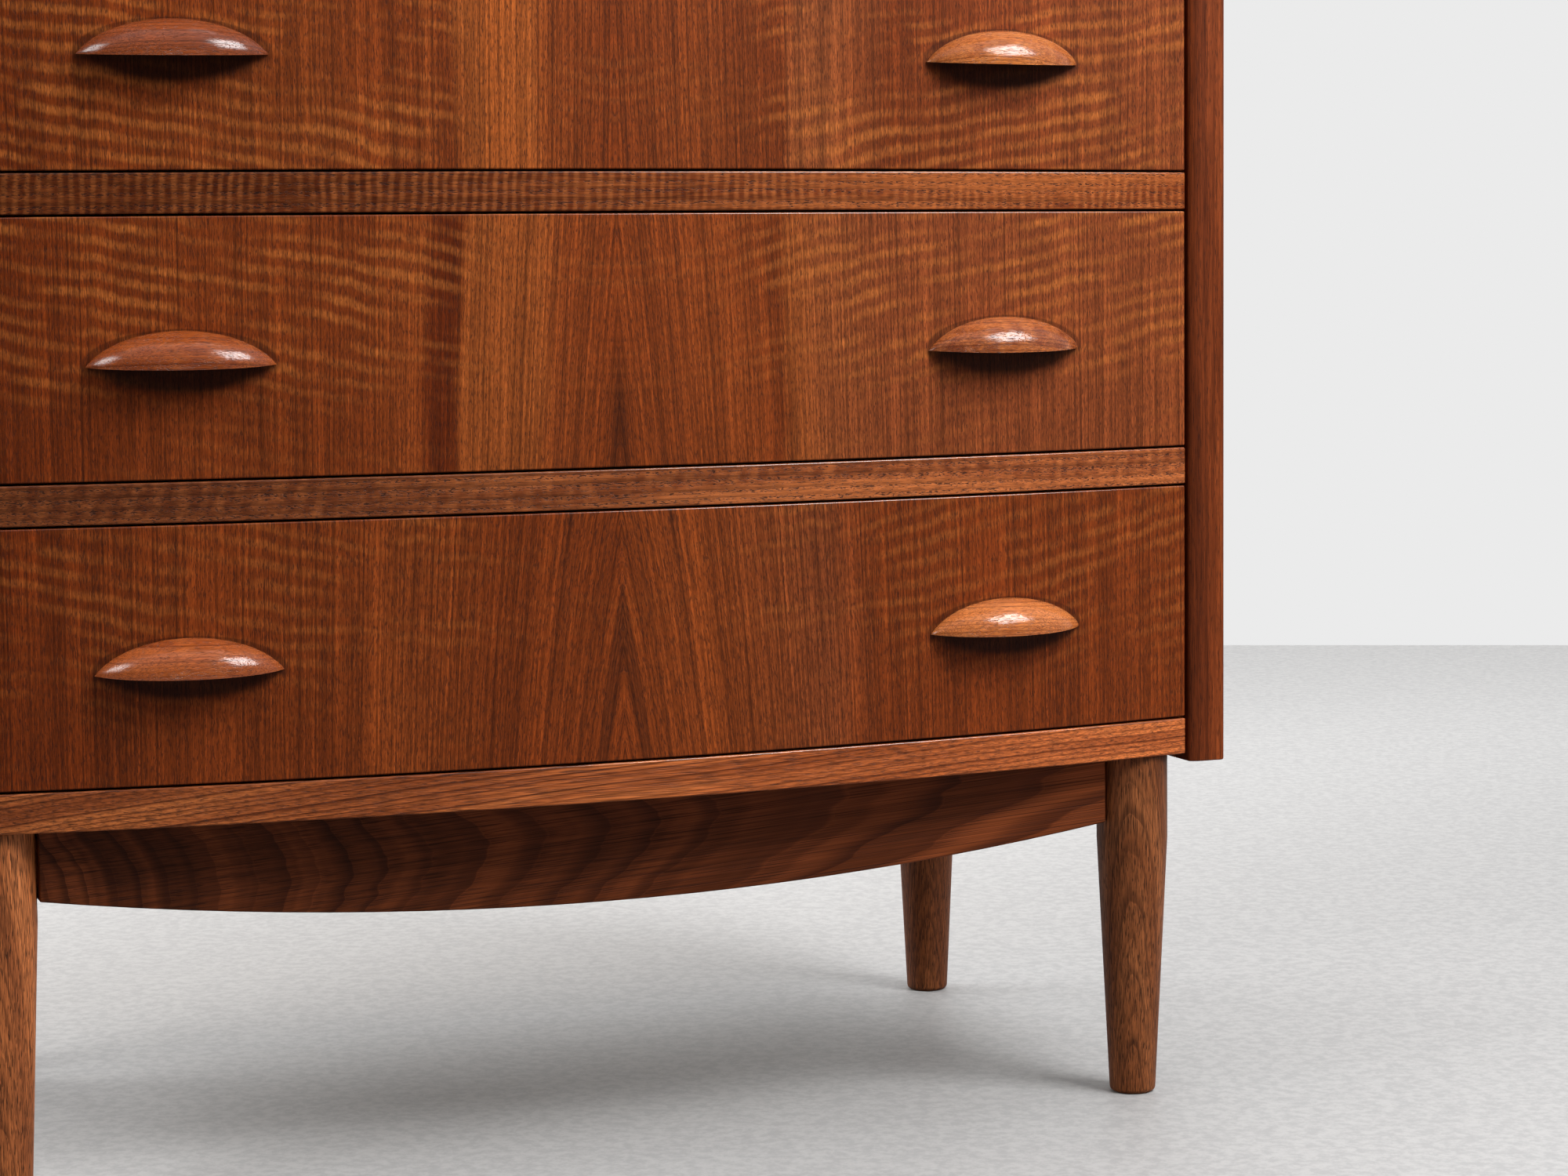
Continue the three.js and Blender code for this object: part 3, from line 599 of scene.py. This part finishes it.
# The painted shade round each pull reaches this far along it and above it, and its painted shadow this far
# below it.
SHADE_HALF_LENGTH, CREASE_SHADE_HEIGHT, PAINTED_SHADOW_DEPTH = 51.5, 19.5, 16.5  # how far the marks reach from there
VENEER_LOOK = {"Heart X": -900.0, "Ring Width": 2.7, "Waver": 2.4, "Pore Width": 0.5, "Pore Length": 3.6,
               "Pore Share": 0.045}
RIPPLE_LOOK = {"Pitch": 10.0, "Slant": -0.2, "Break": 0.6, "Bend": 2.2, "Share": 0.03}


def oval(tree, along, rise, height):
    """The distance from a pull's middle, which is 1 on an oval as long as the pull and this high."""
    rise = calc(tree, "DIVIDE", rise, height)
    return calc(tree, "SQRT", calc(tree, "MULTIPLY_ADD", along, along, calc(tree, "MULTIPLY", rise, rise)))


def pull_painted_shade(tree, colour, leaf, up):
    """The veneer with painted shade: a dark line along the crease over each pull, and a painted shadow
    beneath it.
    """
    along = calc(tree, "DIVIDE", calc(tree, "SUBTRACT", leaf, PULL_ACROSS), SHADE_HALF_LENGTH)
    # Painted shade along the crease over the pull.
    crease_shade = oval(tree, along, calc(tree, "SUBTRACT", up, PULL_UP), CREASE_SHADE_HEIGHT)
    crease_shade = calc(tree, "MULTIPLY", eased(tree, crease_shade, 1.04, 1.0, 0.0, 0.45), eased(tree, up, 56.0, 60.0))
    colour = mixed(tree, crease_shade, colour, srgb(44, 18, 7))
    # Painted shadow beneath the pull.
    painted_shadow = oval(tree, along, calc(tree, "SUBTRACT", PULL_UP, up), PAINTED_SHADOW_DEPTH)
    painted_shadow = calc(tree, "MULTIPLY", eased(tree, painted_shadow, 1.05, 0.7, 0.0, 0.78), eased(tree, up, 61.6, 60.8))
    return mixed(tree, painted_shadow, colour, srgb(24, 9, 4))


def front_veneer(title, floor, spread, ripple, faint, full, stops, seed):
    """One front's veneer. floor is its lower edge in millimetres, spread is how much the lines part,
    ripple is how strong the ripples are, and faint and full are the heights at which they are so.
    stops are its broad bands from left to right."""
    material = bpy.data.materials.new(title)
    material.use_nodes = True
    tree = material.node_tree
    place = node(tree, "Mapping", {"Vector": node(tree, "TexCoord").outputs["Object"],
                                   "Scale": TO_MILLIMETRES}).outputs[0]
    split = node(tree, "SeparateXYZ", {0: place}).outputs
    leaf = calc(tree, "ABSOLUTE", split[0])
    up = calc(tree, "SUBTRACT", split[2], floor)
    near = calc(tree, "POWER", math.e, calc(tree, "DIVIDE", leaf, -95.0))
    lean = calc(tree, "MULTIPLY", calc(tree, "MULTIPLY", near, spread), up)
    run = calc(tree, "ADD", leaf, lean)
    flat = node(tree, "CombineXYZ", {"X": run, "Y": seed * 11.0, "Z": split[2]}).outputs[0]
    wood = node(tree, "Group", {"Position": flat, "Seed": seed, **VENEER_LOOK}, node_tree=timber).outputs
    # The broad bands, which follow the lines and sway a little.
    drift = calc(tree, "SUBTRACT", noise(tree, place, (60, 60, 210), 3, 0.6), 0.5)
    side = calc(tree, "DIVIDE", run, 2 * HALF_CLEAR)
    side = calc(tree, "MULTIPLY_ADD", calc(tree, "SIGN", split[0]), side, 0.5)
    side = calc(tree, "MULTIPLY_ADD", drift, 0.05, side)
    side = calc(tree, "MULTIPLY_ADD", calc(tree, "SUBTRACT", wood["Tone"], 0.5), 0.03, side)
    tint = node(tree, "ValToRGB", {0: side})
    marks = tint.color_ramp.elements
    marks.remove(marks[1])
    for number, (across, tone) in enumerate(stops):
        share = (across + HALF_CLEAR) / (2 * HALF_CLEAR)
        mark = marks[0] if number == 0 else marks.new(share)
        mark.position, mark.color = share, srgb(*tone)
    colour = shaded(tree, tint.outputs[0], eased(tree, wood["Tone"], 0.32, 0.68, 0.79, 1.19))
    # The ripples, strongest away from the joint.
    ripples = {"Position": flat, "Seed": seed, **RIPPLE_LOOK}
    wave = node(tree, "Group", ripples, node_tree=curl).outputs[0]
    outer = eased(tree, leaf, 55.0, 125.0, 0.25, 1.0)
    outer = calc(tree, "MULTIPLY", outer, eased(tree, up, faint, full, 0.2, 1.0))
    glow = calc(tree, "MULTIPLY", calc(tree, "MULTIPLY", wave, outer), ripple)
    colour = mixed(tree, glow, colour, srgb(188, 108, 48))
    # Dark streaks beside the joint, then rings, fibres, grit and pores.
    streaks = eased(tree, noise(tree, flat, (5.0, 1.0, 600.0), 2, 0.6), 0.54, 0.64)
    streaks = calc(tree, "MULTIPLY", streaks, eased(tree, leaf, 70.0, 15.0, 0.0, 0.6))
    colour = mixed(tree, streaks, colour, srgb(72, 32, 12))
    colour = mixed(tree, calc(tree, "MULTIPLY", wood["Rings"], 0.6), colour, srgb(66, 27, 10))
    streak = eased(tree, wood["Fibre"], 0.32, 0.68, 0.78, 1.2)
    grit = eased(tree, noise(tree, flat, (0.6, 1.0, 5.0), 2, 0.7), 0.3, 0.7, 0.74, 1.26)
    line = eased(tree, noise(tree, flat, (1.5, 1.0, 260.0), 3, 0.65), 0.32, 0.68, 0.72, 1.3)
    colour = shaded(tree, colour, calc(tree, "MULTIPLY", calc(tree, "MULTIPLY", streak, grit), line))
    colour = mixed(tree, calc(tree, "MULTIPLY", wood["Pores"], 0.6), colour, srgb(54, 22, 9))
    # Painted shade round the pulls and painted shadow beneath them.
    colour = pull_painted_shade(tree, colour, leaf, up)
    shine = eased(tree, wood["Pores"], 0.0, 1.0, 0.42, 0.58)
    height = calc(tree, "SUBTRACT", calc(tree, "MULTIPLY", wood["Fibre"], 0.3), wood["Pores"])
    return finish(material, colour, shine, height, 0.0001, 0.13)


HONEY, GOLD, SAND, MID = (184, 94, 37), (163, 84, 34), (147, 74, 29), (136, 63, 22)
DEEP, RED, TAN, CLAY = (122, 53, 16), (103, 39, 7), (139, 71, 33), (131, 64, 30)
# For each front: spread, ripple, faint and full, and the bands by their distance from the joint.
front_looks = {
    1: (0.03, 0.5, 0, 70, (
        (-373, DEEP), (-250, RED), (-160, DEEP), (-104, RED), (-86, SAND), (-50, MID), (0, DEEP), (60, MID),
        (96, DEEP), (104, SAND), (140, DEEP), (300, MID), (373, DEEP),
    )),
    2: (0.03, 0.55, 144, 70, (
        (-373, RED), (-280, DEEP), (-170, MID), (-112, DEEP), (-104, MID), (-96, DEEP), (-82, GOLD),
        (-66, HONEY), (-45, GOLD), (-34, MID), (0, DEEP), (60, MID), (96, DEEP), (104, TAN), (135, TAN),
        (165, DEEP), (373, CLAY),
    )),
    3: (0.10, 0.55, 25, 75, (
        (-373, RED), (-250, DEEP), (-138, DEEP), (-114, MID), (-107, RED), (-97, RED), (-89, SAND),
        (-50, SAND), (-40, MID), (0, DEEP), (70, MID), (97, DEEP), (105, SAND), (130, TAN), (165, CLAY),
        (373, CLAY),
    )),
    4: (0.17, 0.3, 20, 90, (
        (-373, RED), (-250, DEEP), (-165, DEEP), (-128, MID), (-84, DEEP), (-30, DEEP), (0, DEEP),
        (60, MID), (125, CLAY), (160, DEEP), (373, DEEP),
    )),
}
for number, look in front_looks.items():
    drawer = f"drawer_{number}"
    name = f"{drawer}_front"
    low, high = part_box(name)
    veneer = front_veneer(f"front_veneer_{number}", low.z * 1000, *look, 3.0 + 2.7 * number)
    rubbed_arris(veneer, high.z)
    dress_board(name, f"{drawer}_bowed_front", ARRIS_EASE, veneer, drawer)


# Pulls: crescent lips carved from solid teak, half of a pointed spindle scribed to the bow. The
# underside is flat, falls a little toward the lip and is hollowed for the fingertips. Each is glued
# and dowelled to its front.
PULL_LENGTH, PULL_REACH, PULL_HEIGHT = 0.102, 0.0213, 0.019
HALF_ARC = math.radians(68)
UNDERSIDE_FALL, PULL_EASE, GLUE_LINE = 0.0018, 0.0006, 0.0002
HOLLOW_LENGTH, HOLLOW_REACH, HOLLOW_HEIGHT = 0.066, 0.0065, 0.0045
HOLLOW_OUT, HOLLOW_DOWN = 0.0095, 0.0015


def spindle(title, length, reach, height, steps, turns):
    """A pointed spindle along X: a wide arc of a circle, pressed flat and spun about its chord."""
    radius = length / 2 / math.sin(HALF_ARC)
    drop = radius * math.cos(HALF_ARC)
    bpy.ops.object.select_all(action="DESELECT")
    bpy.ops.mesh.primitive_circle_add(
        vertices=round(steps * math.pi / HALF_ARC), radius=radius, location=(0, 0, -drop),
        rotation=(math.pi / 2, 0, 0),
    )
    made = bpy.context.object
    made.name = title
    bpy.ops.object.transform_apply(location=True, rotation=True)
    bpy.ops.object.mode_set(mode="EDIT")
    bpy.ops.mesh.select_all(action="SELECT")
    bpy.ops.mesh.bisect(plane_co=(0, 0, 0), plane_no=(0, 0, 1), clear_inner=True, threshold=1e-7)
    bpy.ops.mesh.select_all(action="SELECT")
    bpy.ops.transform.resize(value=(1, 1, reach / (radius - drop)), center_override=(0, 0, 0))
    bpy.ops.mesh.spin(steps=turns, angle=2 * math.pi, center=(0, 0, 0), axis=(1, 0, 0))
    bpy.ops.mesh.select_all(action="SELECT")
    bpy.ops.mesh.remove_doubles(threshold=1e-6)
    bpy.ops.transform.resize(value=(1, 1, height / reach), center_override=(0, 0, 0))
    bpy.ops.mesh.normals_make_consistent(inside=False)
    bpy.ops.object.mode_set(mode="OBJECT")
    return made


def cut_away(obj, tool):
    """Takes the tool's shape out of a piece, and removes the tool."""
    only(obj)
    cut = obj.modifiers.new("cut", "BOOLEAN")
    cut.operation, cut.solver, cut.object = "DIFFERENCE", "EXACT", tool
    bpy.ops.object.modifier_apply(modifier="cut")
    bpy.data.objects.remove(tool)


pull_x = PULL_ACROSS / 1000
pull_turn = math.asin(pull_x / bow_radius)
pull_y = bow_centre - math.sqrt(bow_radius**2 - pull_x**2)
pull_colours = {
    (1, "left"): ((164, 84, 38), (142, 66, 28), (112, 51, 23), (78, 32, 15)),
    (2, "left"): ((148, 72, 34), (124, 56, 25), (100, 42, 18), (66, 26, 12)),
    (3, "left"): ((168, 86, 36), (147, 69, 27), (120, 51, 20), (82, 33, 15)),
    (4, "left"): ((178, 93, 42), (156, 75, 32), (130, 58, 23), (90, 36, 15)),
    (1, "right"): ((196, 112, 54), (170, 90, 41), (134, 62, 27), (92, 40, 18)),
    (2, "right"): ((212, 128, 64), (188, 104, 48), (154, 78, 34), (108, 50, 22)),
    (3, "right"): ((200, 114, 56), (170, 89, 40), (108, 44, 19), (84, 33, 15)),
    (4, "right"): ((210, 122, 60), (184, 98, 45), (150, 72, 31), (102, 46, 20)),
}


def pull_wood(number, side):
    """The teak of one pull, darkened with painted shade where it meets the front."""
    pale, middle, deep, line = pull_colours[number, side]
    material = solid_wood(
        f"pull_teak_{number}_{side}", "X", pale, middle, deep, line, (60, 26, 14),
        ring=(2.6, 1.8, 0.02), heart=(900.0, -150.0 if side == "left" else -110.0),
        pores=(0.35, 4.0, 0.6, 0.02), lines=0.6, fibre=0.36, rough=(0.11, 0.27), specular=0.53,
        relief=0.0003, seed=number + (61.0 if side == "left" else 57.0),
        figure=curly(16.0, 0.2, 0.4, number * 3.0, 0.5),
    )
    tree = material.node_tree
    # Painted shade in the crease where the pull meets the front.
    seam_shade = eased(tree, from_bow_axis(tree), bow_radius + 0.0013, bow_radius + 0.0003, 0.0, 0.6)
    base = tree.nodes["Principled BSDF"].inputs["Base Color"]
    tree.links.new(mixed(tree, seam_shade, base.links[0].from_socket, srgb(46, 19, 9)), base)
    return material


blank = spindle("pull_blank", PULL_LENGTH, PULL_REACH, PULL_HEIGHT, 56, 96)
bpy.ops.object.select_all(action="DESELECT")
bpy.ops.mesh.primitive_cube_add(size=0.2, location=(0, 0, -0.1))
below = bpy.context.object
bpy.ops.object.transform_apply(location=True)
below.data.transform(Matrix.Rotation(math.atan(UNDERSIDE_FALL / PULL_REACH), 4, "X"))
cut_away(blank, below)
hollow = spindle("finger_hollow", HOLLOW_LENGTH, HOLLOW_REACH, HOLLOW_HEIGHT, 28, 48)
hollow.data.transform(Matrix.Translation((0, -HOLLOW_OUT, -HOLLOW_DOWN)))
cut_away(blank, hollow)
bpy.ops.object.select_all(action="DESELECT")
bpy.ops.mesh.primitive_cylinder_add(
    vertices=512, radius=bow_radius, depth=0.2, location=(0, bow_radius + GLUE_LINE, 0)
)
face = bpy.context.object
bpy.ops.object.transform_apply(location=True)
cut_away(blank, face)
ease = blank.modifiers.new("ease", "BEVEL")
ease.width, ease.segments, ease.limit_method, ease.angle_limit = PULL_EASE, 3, "ANGLE", math.radians(38)
only(blank)
bpy.ops.object.modifier_apply(modifier="ease")
smooth(blank)
for number in range(1, 5):
    pull_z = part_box(f"drawer_{number}_front")[0].z + PULL_UP / 1000
    for side, sign in (("left", -1), ("right", 1)):
        name = f"drawer_{number}_{side}_handle"
        pull = bpy.data.objects.new(name.replace("handle", "pull"), blank.data.copy())
        bpy.context.scene.collection.objects.link(pull)
        turned = Matrix.Rotation(sign * pull_turn, 4, "Z")
        pull.data.transform(Matrix.Translation((sign * pull_x, pull_y, pull_z)) @ turned)
        give(pull, pull_wood(number, side), f"drawer_{number}", [name])
bpy.data.objects.remove(blank)


# Room: a plain pale floor, painted paler toward the back as painted light, and a bright wall behind. A
# large softbox stands close on the right and a small one on the left. One overhead and a low one behind
# light the floor. To the camera the world is pale, and the light that it gives is dim, and brighter from
# above and behind.
FLOOR_SIZE, WALL_HEIGHT, WALL_LEFT, WALL_RIGHT = 14, 4, 7, 5
floor_paint = bpy.data.materials.new("pale_floor")
floor_paint.use_nodes = True
tree = floor_paint.node_tree
place = node(tree, "TexCoord").outputs["Object"]
askew = {"Vector": place, "Location": (0.0, 0.0, 3.7), "Rotation": (0.4, 0.3, 0.5), "Scale": TO_MILLIMETRES}
mottle = noise(tree, node(tree, "Mapping", askew).outputs[0], (8, 8, 8), 3, 0.75)
# The floor is painted paler toward the back: painted light.
away = node(tree, "SeparateXYZ", {0: place}).outputs[1]
paler = eased(tree, away, 0.2, 1.3)
dark_fleck = mixed(tree, paler, srgb(162, 161, 161), srgb(191, 190, 190))
pale_fleck = mixed(tree, paler, srgb(177, 176, 175), srgb(207, 206, 205))
speckled = mixed(tree, eased(tree, mottle, 0.35, 0.65), dark_fleck, pale_fleck)
looked_at = node(tree, "LightPath").outputs["Is Camera Ray"]
tree.links.new(mixed(tree, looked_at, srgb(120, 119, 118), speckled),
               tree.nodes["Principled BSDF"].inputs["Base Color"])
tree.nodes["Principled BSDF"].inputs["Roughness"].default_value = 0.55
bpy.ops.object.select_all(action="DESELECT")
bpy.ops.mesh.primitive_plane_add(size=FLOOR_SIZE, location=(0, 0, 0))
floor_plane = bpy.context.object
floor_plane.name = "floor"
floor_plane.data.materials.append(floor_paint)

wall_paint = bpy.data.materials.new("pale_wall")
wall_paint.use_nodes = True
tree = wall_paint.node_tree
tree.nodes.remove(tree.nodes["Principled BSDF"])
front = node(tree, "Emission", {"Color": srgb(235, 235, 235), "Strength": 1.0}).outputs[0]
gone = node(tree, "BsdfTransparent").outputs[0]
behind = node(tree, "NewGeometry").outputs["Backfacing"]
tree.links.new(node(tree, "MixShader", {0: behind, 1: front, 2: gone}).outputs[0],
               tree.nodes["Material Output"].inputs[0])
# The wall stands on the line through these two points of the floor.
seen_right, seen_left = Vector((1.56374, 2.03032, 0)), Vector((0.04031, 2.79418, 0))
leftward = (seen_left - seen_right).normalized()
left, right = seen_right + leftward * WALL_LEFT, seen_right - leftward * WALL_RIGHT
up = Vector((0, 0, WALL_HEIGHT))
bpy.ops.object.select_all(action="DESELECT")
bpy.ops.mesh.primitive_plane_add(size=1, location=(0, 0, 0))
wall = bpy.context.object
wall.name = "wall"
for vertex, corner in zip(wall.data.vertices, (left, right, left + up, right + up)):
    vertex.co = corner
wall.data.materials.append(wall_paint)


def softbox(title, place, aim, size, power):
    """A square softbox turned to face a point."""
    lamp = bpy.data.objects.new(title, bpy.data.lights.new(title, "AREA"))
    bpy.context.scene.collection.objects.link(lamp)
    lamp.data.shape, lamp.data.size, lamp.data.energy = "SQUARE", size, power
    lamp.location = place
    lamp.visible_camera = False
    lamp.rotation_mode = "QUATERNION"
    lamp.rotation_quaternion = (Vector(aim) - Vector(place)).to_track_quat("-Z", "Y")


softbox("right_softbox", (1.08, -1.27, 1.80), (0.1, -0.15, 0.45), 1.0, 51)
softbox("left_softbox", (-1.75, -0.27, 1.40), (-0.2, -0.15, 0.35), 0.8, 20)
softbox("wall_side_softbox", (0.4, 0.95, 3.8), (0.3, 0.6, 0.0), 2.4, 38)
softbox("low_softbox", (-1.5, 1.3, 1.1), (-0.15, 0.05, 0.0), 1.2, 26)

world = bpy.data.worlds.new("studio")
bpy.context.scene.world = world
world.use_nodes = True
tree = world.node_tree
tree.nodes.clear()
path = node(tree, "LightPath").outputs
toward = node(tree, "TexCoord").outputs["Generated"]
bright_side = (0.32, 0.49, 0.81)
bright = node(tree, "VectorMath", {0: toward, 1: bright_side}, operation="DOT_PRODUCT").outputs["Value"]
strength = eased(tree, bright, -0.45, 0.9, 0.06, 0.85)
soft = node(tree, "Background", {"Color": (1, 1, 1, 1), "Strength": strength}).outputs[0]
pale = node(tree, "Background", {"Color": srgb(235, 235, 235), "Strength": 1.0}).outputs[0]
both = node(tree, "MixShader", {0: path["Is Camera Ray"], 1: soft, 2: pale}).outputs[0]
tree.links.new(both, node(tree, "OutputWorld").inputs[0])
